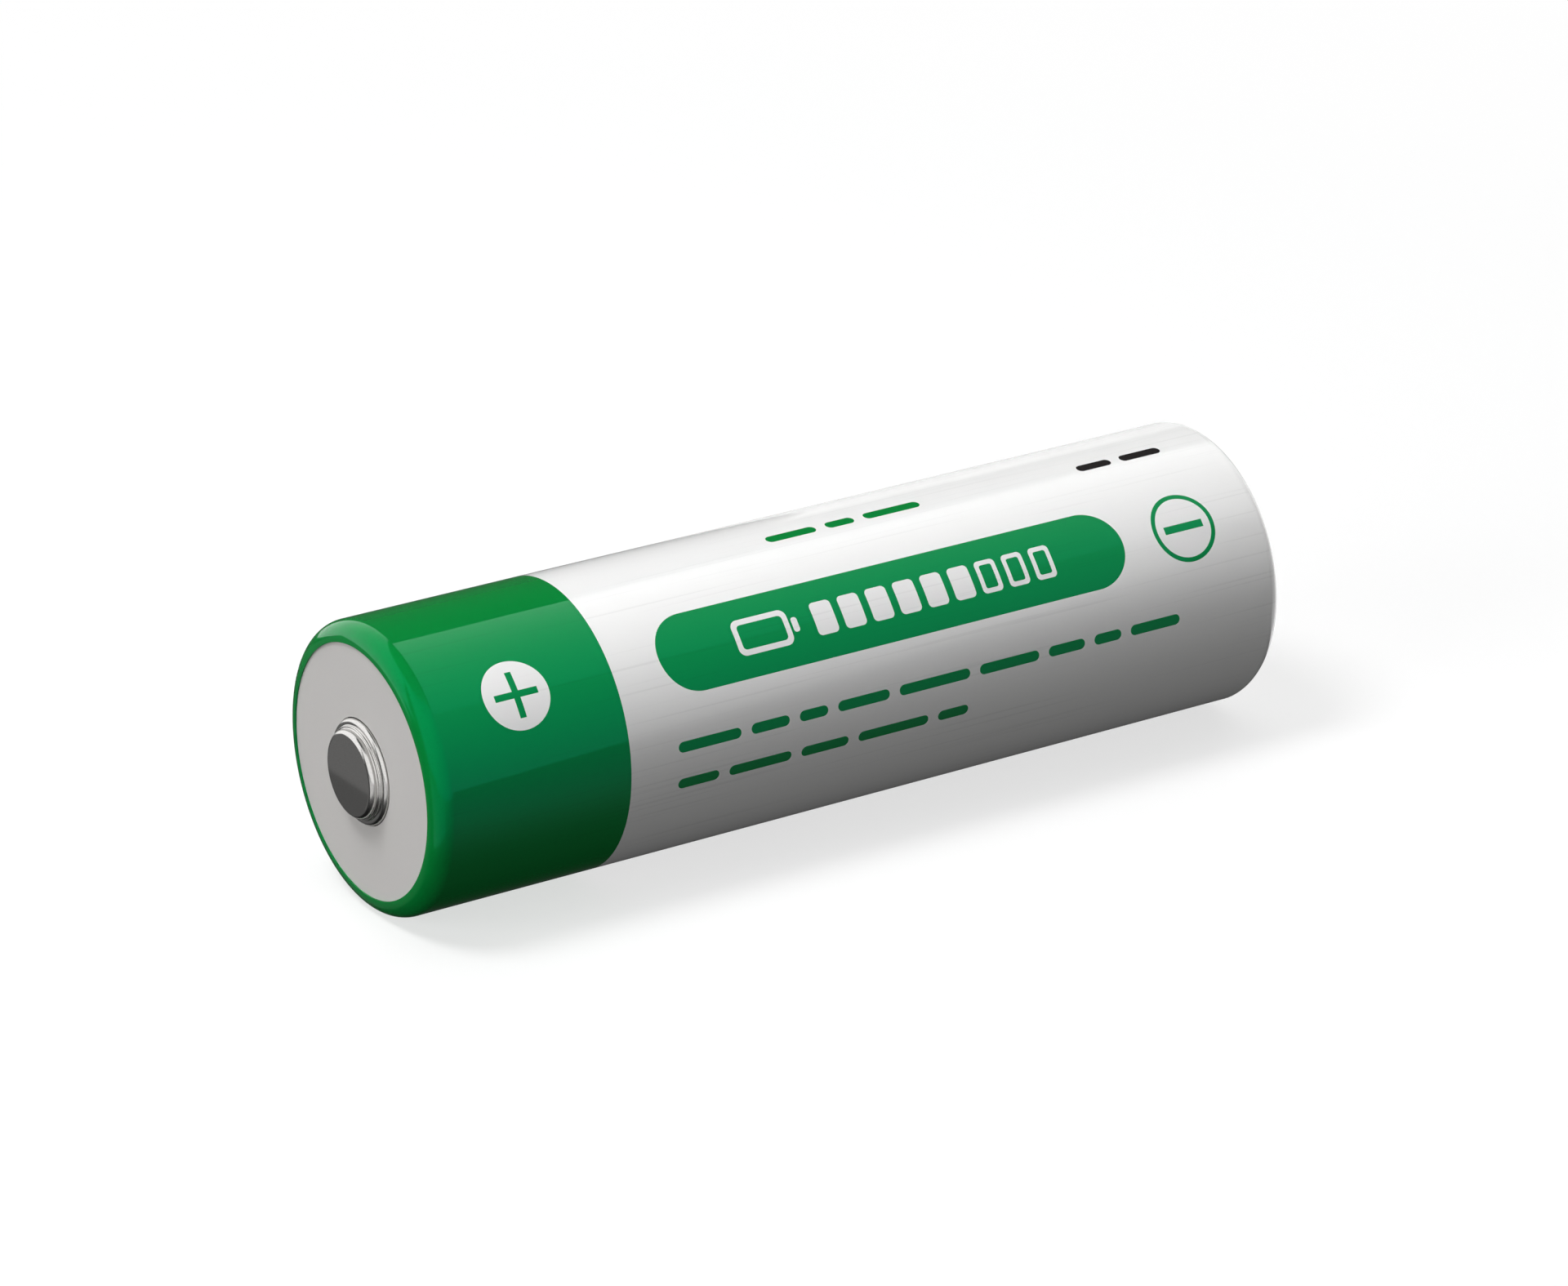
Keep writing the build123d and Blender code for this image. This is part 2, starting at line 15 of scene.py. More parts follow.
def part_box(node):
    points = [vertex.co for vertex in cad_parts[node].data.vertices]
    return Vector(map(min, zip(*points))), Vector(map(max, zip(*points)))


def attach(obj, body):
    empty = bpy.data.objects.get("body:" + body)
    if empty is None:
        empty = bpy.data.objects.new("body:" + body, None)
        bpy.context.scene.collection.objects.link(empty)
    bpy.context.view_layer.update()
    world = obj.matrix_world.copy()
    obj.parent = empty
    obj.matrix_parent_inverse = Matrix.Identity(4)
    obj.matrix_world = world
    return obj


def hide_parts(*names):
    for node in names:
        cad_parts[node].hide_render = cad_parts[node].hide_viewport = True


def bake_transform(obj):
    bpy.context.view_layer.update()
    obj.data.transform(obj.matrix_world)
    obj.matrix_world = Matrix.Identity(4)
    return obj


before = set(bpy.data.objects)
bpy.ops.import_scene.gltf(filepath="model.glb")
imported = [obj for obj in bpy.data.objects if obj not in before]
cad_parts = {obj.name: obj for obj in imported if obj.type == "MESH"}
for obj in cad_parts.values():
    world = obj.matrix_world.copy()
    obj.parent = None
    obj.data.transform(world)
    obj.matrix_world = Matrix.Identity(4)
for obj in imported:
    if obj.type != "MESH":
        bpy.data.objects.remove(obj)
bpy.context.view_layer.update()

MM = 0.001

# ---- Places taken from the CAD model, mm -----------------------------------------------------------
SLEEVE_LOW, SLEEVE_HIGH = (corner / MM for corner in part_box("shrink_sleeve"))
RADIUS = (SLEEVE_HIGH.x - SLEEVE_LOW.x) / 2
AXIS_HEIGHT = SLEEVE_LOW.z + RADIUS
POSITIVE_FOLD = SLEEVE_LOW.y  # outer face of the fold at the positive end
NEGATIVE_FOLD = SLEEVE_HIGH.y
BUTTON_LOW, BUTTON_HIGH = (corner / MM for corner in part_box("button_contact"))
CONTACT_LOW, CONTACT_HIGH = (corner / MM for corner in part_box("negative_contact"))
VENT_LOW, VENT_HIGH = (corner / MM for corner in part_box("vent_disc"))
BOARD_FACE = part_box("protection_board")[0].y / MM  # the side that carries the chips

# ---- Sleeve and its print, mm and degrees ----------------------------------------------------------
FILM = 0.10
SHOULDER_ROUND = 1.40
HEEL_ROUND = 1.04
TOP_FOLD_RADIUS = 9.264
BOTTOM_FOLD_RADIUS = 8.40
SIDES = 180  # flats round the cell
ARC_STEP = 4.0  # degrees of bend per facet
INK_STEP = 0.13  # length of one facet on a printed outline
MERGE = 1e-3  # a point of the wall this near a line, in mm or in flats, is put on it
TINY = 1e-4  # a length that counts as nothing

WHITE, GREEN, BLACK = range(3)  # material slots of the sleeve

GREEN_BAND = 15.58  # measured from the positive fold, as are all places along the print
LABEL_ANGLE = 40.6  # the label and both signs are centred on this line
PILL_START, PILL_END = 19.45, 59.29
PILL_HEIGHT = 5.94

# ---- Camera ----------------------------------------------------------------------------------------
CAMERA_AZIMUTH = 56.95
CAMERA_ELEVATION = 22.84
CAMERA_DISTANCE = 472.0
CAMERA_AIM = Vector((-5.6, 3.2, 9.55))
CAMERA_LENS = 147.76


# ---- Outlines of turned pieces ---------------------------------------------------------------------
def direction(start, end):
    """Unit vector from one outline point to another."""
    return (Vector(end[:2]) - Vector(start[:2])).normalized()


def outline(corners, closed=True):
    """Facets of an outline in the (radius, y) plane, with its corners rounded.

    A corner is (radius, y) or (radius, y, corner round), and the solid lies to the left of the path.
    Each facet is (start, end, normal at start, normal at end), where the normals are those of the true
    curve, so that a round corner shades as a curve.
    """
    count = len(corners)
    arrive, leave, arcs = [], [], []
    for i, corner in enumerate(corners):
        here = Vector(corner[:2])
        bend = corner[2] if len(corner) == 3 else 0
        ends_open = not closed and i in (0, count - 1)
        if bend == 0 or ends_open:
            arrive.append(here)
            leave.append(here)
            arcs.append([])
            continue
        before = direction(corners[i - 1], corner)
        after = direction(corner, corners[(i + 1) % count])
        turn = before.angle_signed(after) * -1  # positive to the left
        reach = bend * tan(abs(turn) / 2)
        first = here - before * reach
        last = here + after * reach
        side = 1 if turn > 0 else -1
        centre = first + Vector((-before.y, before.x)) * bend * side
        steps = max(3, ceil(abs(turn) / radians(ARC_STEP)))
        start_angle = atan2(first.y - centre.y, first.x - centre.x)
        angles = [start_angle + turn * k / steps for k in range(steps + 1)]
        spokes = [Vector((cos(angle), sin(angle))) for angle in angles]
        points = [first, *(centre + spoke * bend for spoke in spokes[1:-1]), last]
        arrive.append(first)
        leave.append(last)
        arcs.append(
            [(points[k], points[k + 1], spokes[k] * side, spokes[k + 1] * side) for k in range(steps)]
        )
    facets = []
    for i in range(count if closed else count - 1):
        following = (i + 1) % count
        start, end = leave[i], arrive[following]
        if (end - start).length > TINY:
            along = (end - start).normalized()
            normal = Vector((along.y, -along.x))
            facets.append((start, end, normal, normal))
        facets += arcs[following]
    return facets


def sheet(points, bends, thickness):
    """Facets of a pressed sheet; the points follow the middle of the sheet."""
    half = thickness / 2
    faces = []
    for side in (1, -1):
        corners = []
        for i, point in enumerate(points):
            before = direction(points[i - 1], point) if i > 0 else None
            after = direction(point, points[i + 1]) if i < len(points) - 1 else None
            before = before or after
            after = after or before
            turn = before.angle_signed(after) * -1
            middle = (before + after).normalized()
            shift = Vector((middle.y, -middle.x)) * side * half / cos(turn / 2)
            corner = Vector(point) + shift
            bent = 0 < i < len(points) - 1
            bend = bends[i - 1] + half * side * (1 if turn > 0 else -1) if bent else 0
            corners.append((corner.x, corner.y, bend) if bent else (corner.x, corner.y))
        faces.append(corners)
    return outline(faces[0] + faces[1][::-1])


# ---- Meshes that carry their true normals ----------------------------------------------------------
class Skin:
    """Points, faces, inks and corner normals, gathered before Blender makes the mesh."""

    DIGITS = 5  # decimals of a millimetre that tell two points apart

    def __init__(self):
        self.points = []
        self.numbers = {}
        self.faces = []
        self.inks = []
        self.normals = []

    def number(self, point):
        """Number of a point; points in the same place share one."""
        key = tuple(round(value, self.DIGITS) + 0.0 for value in point)
        if key not in self.numbers:
            self.numbers[key] = len(self.points)
            self.points.append(point * MM)
        return self.numbers[key]

    def face(self, points, normals, ink=WHITE):
        """One face, wound so that it looks the way its normals point."""
        facing = (points[2] - points[0]).cross(points[-1] - points[1])
        if facing.dot(sum(normals, Vector((0, 0, 0)))) < 0:
            points, normals = points[::-1], normals[::-1]
        numbers = [self.number(point) for point in points]
        if len(set(numbers)) < len(numbers):
            kept = [k for k in range(len(numbers)) if numbers[k] != numbers[k - 1]]
            numbers = [numbers[k] for k in kept]
            normals = [normals[k] for k in kept]
        if len(set(numbers)) < 3:
            return
        self.faces.append(numbers)
        self.inks.append(ink)
        self.normals += normals

    def turn(self, facets, ink=WHITE, sides=SIDES):
        """Turns outline facets about the cell's axis."""
        for start, end, start_normal, end_normal in facets:
            for i in range(sides):
                low, high = side_angle(i, sides), side_angle(i + 1, sides)
                points = [
                    on_cell(start.x, low, start.y),
                    on_cell(end.x, low, end.y),
                    on_cell(end.x, high, end.y),
                    on_cell(start.x, high, start.y),
                ]
                normals = [
                    outward(start_normal, low),
                    outward(end_normal, low),
                    outward(end_normal, high),
                    outward(start_normal, high),
                ]
                self.face(points, normals, ink)

    def piece(self, name, materials):
        """The finished Blender object."""
        mesh = bpy.data.meshes.new(name)
        mesh.from_pydata([tuple(point) for point in self.points], [], self.faces)
        mesh.polygons.foreach_set("material_index", self.inks)
        mesh.polygons.foreach_set("use_smooth", [True] * len(self.faces))
        mesh.normals_split_custom_set([tuple(normal) for normal in self.normals])
        for material in materials:
            mesh.materials.append(material)
        thing = bpy.data.objects.new(name, mesh)
        bpy.context.scene.collection.objects.link(thing)
        return thing


def side_angle(i, sides):
    """Angle of one edge between the flats; the last edge is the first one again."""
    return -pi + 2 * pi * (i % sides) / sides


def on_cell(radius, angle, y):
    """Point in the cell's frame, mm."""
    return Vector((radius * cos(angle), y, AXIS_HEIGHT + radius * sin(angle)))


def outward(normal, angle):
    """Turns an outline normal, (radial, along y), to an angle round the cell."""
    return Vector((normal.x * cos(angle), normal.y, normal.x * sin(angle)))


def turned_piece(name, facets, material, sides=SIDES):
    """A piece of one material, turned from its outline."""
    skin = Skin()
    skin.turn(facets, sides=sides)
    piece = skin.piece(name, [material])
    return piece


# ---- Print on the sleeve ---------------------------------------------------------------------------
def rounded_box(along, angle, length, height, corner):
    """Outline of a printed box on the unrolled wall, as (distance from the fold, distance round), mm."""
    corner = min(corner, length / 2, height / 2)
    across = radians(angle) * RADIUS
    steps = max(2, ceil(corner * pi / 2 / INK_STEP))
    points = []
    for quarter, (side, rise) in enumerate(((1, 1), (-1, 1), (-1, -1), (1, -1))):
        centre = Vector((along + side * (length / 2 - corner), across + rise * (height / 2 - corner)))
        for k in range(steps + 1):
            bend = (quarter + k / steps) * pi / 2
            points.append(centre + Vector((cos(bend), sin(bend))) * corner)
    return [points[k] for k in range(len(points)) if (points[k] - points[k - 1]).length > TINY]


def inside_box(point, along, angle, length, height, corner):
    """Whether a point of the unrolled wall lies inside a printed box."""
    corner = min(corner, length / 2, height / 2)
    over = abs(point.x - along) - (length / 2 - corner)
    up = abs(point.y - radians(angle) * RADIUS) - (height / 2 - corner)
    if corner == 0:
        return max(over, up) < 0
    return hypot(max(over, 0), max(up, 0)) < corner


def disc(along, angle, radius):
    """A printed disc, as a box whose four corner rounds meet."""
    return (along, angle, 2 * radius, 2 * radius, radius)


def bar(along, angle, length, height, corner=0.0):
    """A printed box: its middle, its size along and round the cell, and its corner round."""
    return (along, angle, length, height, corner)


def plus_sign():
    """Green plus on a white disc, in the green band."""
    centre, disc_radius, length, stroke = 7.91, 2.57, 3.42, 0.50
    return [
        (WHITE, disc(centre, LABEL_ANGLE, disc_radius)),
        (GREEN, bar(centre, LABEL_ANGLE, length, stroke)),
        (GREEN, bar(centre, LABEL_ANGLE, stroke, length)),
    ]


def minus_sign():
    """Green minus in a thin green ring, near the negative end."""
    centre, ring_radius, ring_stroke, length, stroke = 64.79, 2.67, 0.35, 3.40, 0.59
    return [
        (GREEN, disc(centre, LABEL_ANGLE, ring_radius)),
        (WHITE, disc(centre, LABEL_ANGLE, ring_radius - ring_stroke)),
        (GREEN, bar(centre, LABEL_ANGLE, length, stroke)),
    ]


def battery_icon():
    """White outline of a plain battery with its terminal, on the green pill."""
    centre, length, height, stroke = 28.1, 4.6, 2.7, 0.42
    outer_corner, inner_corner = 0.6, 0.3
    terminal, terminal_length, terminal_height = centre + length / 2 + 0.45, 0.5, 1.1
    terminal_corner = 0.2
    return [
        (WHITE, bar(terminal, LABEL_ANGLE, terminal_length, terminal_height, terminal_corner)),
        (WHITE, bar(centre, LABEL_ANGLE, length, height, outer_corner)),
        (GREEN, bar(centre, LABEL_ANGLE, length - 2 * stroke, height - 2 * stroke, inner_corner)),
    ]


def charge_blocks():
    """Row of white blocks on the green pill; the last ones are hollow."""
    first, step, blocks, filled = 33.3, 2.36, 9, 6
    length, height, stroke = 1.75, 2.5, 0.35
    outer_corner, inner_corner = 0.35, 0.15
    marks = []
    for k in range(blocks):
        middle = first + k * step
        marks.append((WHITE, bar(middle, LABEL_ANGLE, length, height, outer_corner)))
        if k >= filled:
            hollow = bar(middle, LABEL_ANGLE, length - 2 * stroke, height - 2 * stroke, inner_corner)
            marks.append((GREEN, hollow))
    return marks


def dashes(ink, start, end, angle, height, pattern):
    """Row of plain dashes whose lengths repeat a short pattern; it fills from start to end."""
    gap = 0.62 * height + 0.35
    shortest = 1.0
    marks = []
    while start < end - shortest:
        length = min(pattern[len(marks) % len(pattern)], end - start)
        marks.append((ink, bar(start + length / 2, angle, length, height, height / 2)))
        start += length + gap
    return marks


def printed_marks():
    """Every mark on the wall, in the order it is printed."""
    pill_middle = (PILL_START + PILL_END) / 2
    pill = bar(pill_middle, LABEL_ANGLE, PILL_END - PILL_START, PILL_HEIGHT, PILL_HEIGHT / 2)
    return [
        *plus_sign(),
        (GREEN, pill),
        *battery_icon(),
        *charge_blocks(),
        *minus_sign(),
        *dashes(GREEN, start=32.8, end=46.0, angle=83.0, height=0.85, pattern=(4.2, 2.4, 4.8)),
        *dashes(BLACK, start=59.6, end=67.5, angle=80.0, height=0.80, pattern=(3.0, 3.6)),
        *dashes(GREEN, start=19.5, end=62.8, angle=5.6, height=0.80, pattern=(5.2, 3.2, 2.4, 4.4, 6.1)),
        *dashes(GREEN, start=19.5, end=44.1, angle=-9.5, height=0.80, pattern=(3.4, 5.2, 4.0, 6.0)),
    ]


def printed_wall(skin, radius, first, last):
    """The straight wall from y = first to y = last, cut into faces along every printed outline."""
    points, edges = [], []
    start, end = first - POSITIVE_FOLD, last - POSITIVE_FOLD

    def chain(chain_points, closed=False):
        base = len(points)
        points.extend(chain_points)
        edges.extend((base + k, base + k + 1) for k in range(len(chain_points) - 1))
        if closed:
            edges.append((base + len(chain_points) - 1, base))

    def across(i):
        return (-pi + 2 * pi * i / SIDES) * RADIUS

    stations = (start, GREEN_BAND, end)
    for i in range(SIDES + 1):
        chain([Vector((along, across(i))) for along in stations])
    row = len(stations)
    for column in range(row):
        edges.extend((i * row + column, (i + 1) * row + column) for i in range(SIDES))
    marks = printed_marks()
    for _, mark in marks:
        chain(rounded_box(*mark), closed=True)

    def roll_up(place):
        """Angle and y of a flat point; a point on a facet's edge or the wall's end is put exactly there."""
        side = (place.y / RADIUS + pi) * SIDES / (2 * pi)
        on_edge = abs(side - round(side)) < MERGE
        angle = side_angle(round(side), SIDES) if on_edge else place.y / RADIUS
        y = place.x + POSITIVE_FOLD
        for limit in (first, last):
            y = limit if abs(y - limit) < MERGE else y
        return angle, y

    flat, _, faces = delaunay_2d_cdt(points, edges, [], 0, MERGE)[:3]
    rolled = [roll_up(place) for place in flat]
    for face in faces:
        middle = sum((flat[k] for k in face), Vector((0, 0))) / len(face)
        ink = GREEN if middle.x < GREEN_BAND else WHITE
        for mark_ink, mark in marks:
            if inside_box(middle, *mark):
                ink = mark_ink
        corners = [on_cell(radius, *rolled[k]) for k in face]
        skin.face(corners, [outward(Vector((1, 0)), rolled[k][0]) for k in face], ink)


def shrink_sleeve():
    """Shrunk film: shoulder, printed wall, heel and the folds over both ends."""
    half = FILM / 2
    middle = RADIUS - half
    facets = sheet(
        [
            (BOTTOM_FOLD_RADIUS, NEGATIVE_FOLD - half),
            (middle, NEGATIVE_FOLD - half),
            (middle, POSITIVE_FOLD + half),
            (TOP_FOLD_RADIUS, POSITIVE_FOLD + half),
        ][::-1],
        [SHOULDER_ROUND - half, HEEL_ROUND - half],
        FILM,
    )
    skin = Skin()
    for facet in facets:
        start, end = facet[:2]
        on_wall = min(start.x, end.x) > RADIUS - TINY
        if on_wall:
            printed_wall(skin, start.x, min(start.y, end.y), max(start.y, end.y))
        else:
            skin.turn([facet], GREEN if max(start.y, end.y) < POSITIVE_FOLD + GREEN_BAND else WHITE)
    piece = skin.piece("printed_sleeve", [film("film_white"), film("film_green"), film("film_black")])
    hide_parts("shrink_sleeve")
    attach(piece, "cell")


# ---- Turned metal pieces ---------------------------------------------------------------------------
def off_axis(facets):
    """The facets that make a surface when turned, without the ones that lie on the axis."""
    return [facet for facet in facets if max(facet[0].x, facet[1].x) > 0]


def button_contact():
    """Stamped button: rounded nub, a fine ledge round its foot, a beaded step and the hidden flange."""
    sheet_metal = 0.25
    nub, ledge, bead, flange = 3.20, 3.40, 3.86, BUTTON_HIGH.x  # radii
    nub_bore, bead_bore = nub - 0.26, bead - 0.28
    ledge_depth, step_depth, flange_depth = 0.56, 0.73, BUTTON_HIGH.y - BUTTON_LOW.y
    corners = [  # radius, depth below the end face, corner round
        (0, 0),
        (nub, 0, 0.36),
        (nub, ledge_depth, 0.10),
        (ledge, ledge_depth, 0.08),
        (ledge, step_depth, 0.07),
        (bead, step_depth, 0.31),
        (bead, flange_depth - sheet_metal, 0.10),
        (flange, flange_depth - sheet_metal, 0.08),
        (flange, flange_depth),
        (bead_bore, flange_depth, 0.12),
        (bead_bore, step_depth + sheet_metal, 0.12),
        (nub_bore, step_depth + sheet_metal, 0.15),
        (nub_bore, sheet_metal, 0.20),
        (0, sheet_metal),
    ]
    facets = off_axis(outline([(radius, BUTTON_LOW.y + depth, *bend) for radius, depth, *bend in corners]))
    piece = turned_piece("button", facets, button_plate("button_plate"))
    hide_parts("button_contact")
    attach(piece, "cell")


def negative_contact():
    """Pressed disc at the negative end, with a raised middle."""
    half, bend = 0.125, 0.30  # half the sheet's thickness, and the round of its bends
    raised, foot = 7.15, 7.50  # radii at the top and the foot of the slope
    face = CONTACT_HIGH.y - half
    rim = CONTACT_LOW.y + half
    path = [(CONTACT_HIGH.x, rim), (foot, rim), (raised, face), (0, face)]
    facets = off_axis(sheet(path, [bend, bend], 2 * half))
    piece = turned_piece("negative_plate", facets, plated_steel("contact_plate"))
    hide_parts("negative_contact")
    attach(piece, "cell")


def vent_disc():
    """Dished, scored disc; its rim lies in the crimp and its middle at the weld slug."""
    half, bend = 0.15, 0.8  # half the sheet's thickness, and the round of its bends
    rim, middle = VENT_LOW.y + half, VENT_HIGH.y - half
    slope_inner, slope_outer = 2.0, 6.0  # radii between which the sheet slopes and bends
    score_radius, score_half_width, score_depth = 5.2, 0.15, 0.09
    facet_length, sides = 0.25, 96
    path = [(0, middle), (slope_inner, middle), (slope_outer, rim), (VENT_HIGH.x, rim)]
    facets = off_axis(sheet(path, [bend, bend], 2 * half))
    facets = [part for facet in facets for part in split_facet(facet, facet_length)]
    piece = turned_piece("vent_disc_sheet", facets, aluminium("vent_aluminium"), sides)
    for vertex in piece.data.vertices:
        radius = hypot(vertex.co.x, vertex.co.z - AXIS_HEIGHT * MM) / MM
        share = min(max((slope_outer - radius) / (slope_outer - slope_inner), 0), 1)
        outer_face = vertex.co.y / MM < rim + share * (middle - rim)
        off_score = abs(radius - score_radius) / score_half_width
        if outer_face and off_score < 1:
            vertex.co.y += score_depth * (1 - off_score) * MM
    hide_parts("vent_disc")
    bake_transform(piece)


def split_facet(facet, longest):
    """A straight facet in pieces no longer than a given length."""
    start, end, start_normal, end_normal = facet
    count = max(1, ceil((end - start).length / longest))
    stops = [start.lerp(end, k / count) for k in range(count + 1)]
    normals = [start_normal.lerp(end_normal, k / count) for k in range(count + 1)]
    return [(stops[k], stops[k + 1], normals[k], normals[k + 1]) for k in range(count)]


# ---- Materials -------------------------------------------------------------------------------------
class Look:
    """A material being made: one Principled surface and the nodes that drive it."""

    def __init__(self, name, colour, roughness, **settings):
        self.material = bpy.data.materials.new(name)
        self.material.use_nodes = True
        self.tree = self.material.node_tree
        self.surface = self.tree.nodes["Principled BSDF"]
        self.set("Base Color", colour)
        self.set("Roughness", roughness)
        for socket, value in settings.items():
            self.set(socket.replace("_", " "), value)
        place = self.node("ShaderNodeTexCoord").outputs["Object"]
        centred = self.vector("SUBTRACT", place, (0, 0, AXIS_HEIGHT * MM))
        self.place = self.vector("MULTIPLY", centred, (1 / MM,) * 3)  # mm from the cell's middle
        split = self.node("ShaderNodeSeparateXYZ", {"Vector": self.place})
        self.x, self.y, self.z = (split.outputs[axis] for axis in "XYZ")
        self.angle = self.maths("ARCTAN2", self.z, self.x)
        across = self.join(self.x, 0.0, self.z)
        self.radius = self.maths("SQRT", self.dot(across, across))
        self.round = self.join(self.maths("MULTIPLY", self.angle, RADIUS), self.y, self.radius)

    def set(self, socket, value):
        """Gives a surface input a number, a colour or another node's output."""
        self.feed(self.surface.inputs[socket], value)

    def feed(self, target, value):
        if isinstance(value, bpy.types.NodeSocket):
            self.tree.links.new(value, target)
        elif target.type == "RGBA":
            target.default_value = (*value, 1.0)
        else:
            target.default_value = value

    def node(self, kind, inputs=None, **settings):
        made = self.tree.nodes.new(kind)
        for setting, value in settings.items():
            setattr(made, setting, value)
        for socket, value in (inputs or {}).items():
            self.feed(made.inputs[socket], value)
        return made

    def maths(self, operation, first, second=0.0):
        made = self.node("ShaderNodeMath", {0: first, 1: second}, operation=operation)
        return made.outputs[0]

    def vector(self, operation, first, second):
        made = self.node("ShaderNodeVectorMath", {0: first, 1: second}, operation=operation)
        return made.outputs[0]

    def dot(self, first, second):
        made = self.node("ShaderNodeVectorMath", {0: first, 1: second}, operation="DOT_PRODUCT")
        return made.outputs["Value"]

    def join(self, x, y, z):
        return self.node("ShaderNodeCombineXYZ", {"X": x, "Y": y, "Z": z}).outputs[0]

    def noise(self, scale, place=None, stretch=(1, 1, 1), detail=2.0, roughness=0.5):
        """Noise with about `scale` lumps per mm; stretch scales it along each axis."""
        where = self.vector("MULTIPLY", place or self.place, stretch)
        inputs = {"Vector": where, "Scale": scale, "Detail": detail, "Roughness": roughness}
        return self.node("ShaderNodeTexNoise", inputs).outputs[0]

    def spread(self, factor, low, high, start=0.3, end=0.7):
        """Maps a factor between start and end to numbers between low and high."""
        inputs = {"Value": factor, "From Min": start, "From Max": end, "To Min": low, "To Max": high}
        return self.node("ShaderNodeMapRange", inputs).outputs[0]

    def mix(self, factor, first, second):
        made = self.node("ShaderNodeMix", data_type="RGBA")
        self.feed(made.inputs["Factor"], factor)
        self.feed(made.inputs[6], first)
        self.feed(made.inputs[7], second)
        return made.outputs[2]

    def tint(self, factor, colour, spread):
        """A colour that varies by a share either way with a factor."""
        darker = tuple(channel * (1 - spread) for channel in colour)
        lighter = tuple(min(channel * (1 + spread), 1.0) for channel in colour)
        return self.mix(factor, darker, lighter)

    def bump(self, height, depth, strength=1.0):
        """Fine relief, with its depth in mm."""
        inputs = {"Height": height, "Distance": depth * MM, "Strength": strength}
        self.set("Normal", self.node("ShaderNodeBump", inputs).outputs[0])


FILM_COLOURS = {
    "film_white": (0.90, 0.90, 0.893),
    "film_green": (0.002, 0.226, 0.038),
    "film_black": (0.018, 0.016, 0.016),
}
FILM_GLOSS_TINT = {"film_green": (0.0, 1.0, 0.62)}


def film(name):
    """Glossy shrink film with a little unevenness; darker painted shade streaks along the tube stand in for
    wrinkled reflections.
    """
    colour = FILM_COLOURS[name]
    # how much darker the painted shade streaks are than the film's own colour
    painted_streak_shade = 0.93
    look = Look(name, colour, 0.06, Specular_Tint=FILM_GLOSS_TINT.get(name, (1, 1, 1)))
    lines = look.noise(2.2, look.round, stretch=(1, 0.012, 1), detail=3)
    cloud = look.noise(0.25, look.round, detail=1)
    # painted shade: darker streaks along the tube stand in for shallow wrinkles that bend the film's
    # reflections
    painted_streaks = look.noise(4.5, look.round, stretch=(1, 0.008, 1), detail=2)
    off_painted_streak = look.spread(painted_streaks, 1.0, 0.0, start=0.60, end=0.70)
    painted_streak_colour = tuple(channel * painted_streak_shade for channel in colour)
    look.set("Base Color", look.mix(off_painted_streak, painted_streak_colour, colour))
    look.set("Roughness", look.spread(cloud, 0.02, 0.045))
    look.bump(lines, 0.004, 0.6)
    return look.material


def plated_steel(name, colour=(0.56, 0.55, 0.535)):
    """Nickel plate on stamped steel, with fine satin grain and faint turning marks."""
    look = Look(name, colour, 0.25, Metallic=1.0)
    grain = look.noise(9.0, detail=4, roughness=0.7)
    patches = look.noise(0.8, detail=2)
    look.set("Base Color", look.tint(patches, colour, 0.06))
    look.set("Roughness", look.spread(grain, 0.17, 0.30))
    rings = look.noise(6.0, look.join(look.radius, 0.0, 0.0), detail=3)
    look.bump(look.maths("ADD", grain, look.maths("MULTIPLY", rings, 0.8)), 0.006, 0.5)
    return look.material


def button_plate(name, colour=(0.60, 0.59, 0.575)):
    """The same plate on the button, whose end face is flat enough to mirror the studio."""
    look = Look(name, colour, 0.25, Metallic=1.0)
    grain = look.noise(16.0, detail=4, roughness=0.8)
    soft_grain = look.noise(5.0, detail=3)
    face_depth = 0.01
    off_face = look.maths("GREATER_THAN", look.y, BUTTON_LOW.y + face_depth)
    look.set("Base Color", look.tint(look.spread(grain, 0.0, 1.0, start=0.35, end=0.65), colour, 0.10))
    look.set("Roughness", look.spread(off_face, 0.015, 0.20, start=0.0, end=1.0))
    look.bump(look.maths("MULTIPLY", soft_grain, off_face), 0.002, 0.5)
    return look.material


def drawn_steel(name, colour=(0.48, 0.48, 0.475)):
    """Deep-drawn nickel-plated steel, with draw lines along the can."""
    look = Look(name, colour, 0.3, Metallic=1.0)
    lines = look.noise(3.5, look.round, stretch=(1, 0.03, 1), detail=4)
    patches = look.noise(0.35, look.round, detail=3)
    look.set("Base Color", look.tint(patches, colour, 0.10))
    look.set("Roughness", look.spread(lines, 0.22, 0.42))
    look.bump(lines, 0.006, 0.5)
    return look.material


def rolled_metal(name, colour, lengthwise):
    """Rolled strip: its fine lines run along one direction, given by the stretch of the noise."""
    look = Look(name, colour, 0.3, Metallic=1.0)
    lines = look.noise(7.0, stretch=lengthwise, detail=4)
    patches = look.noise(0.6, detail=2)
    look.set("Base Color", look.tint(patches, colour, 0.08))
    look.set("Roughness", look.spread(lines, 0.20, 0.38))
    look.bump(lines, 0.005, 0.5)
    return look.material


def aluminium(name, colour=(0.78, 0.79, 0.80)):
    """Soft stamped aluminium: pale, mottled and slightly dull."""
    look = Look(name, colour, 0.35, Metallic=1.0)
    mottle = look.noise(1.6, detail=5, roughness=0.6)
    look.set("Base Color", look.tint(mottle, colour, 0.07))
    look.set("Roughness", look.spread(mottle, 0.28, 0.46))
    look.bump(look.noise(8.0, detail=3), 0.006, 0.4)
    return look.material


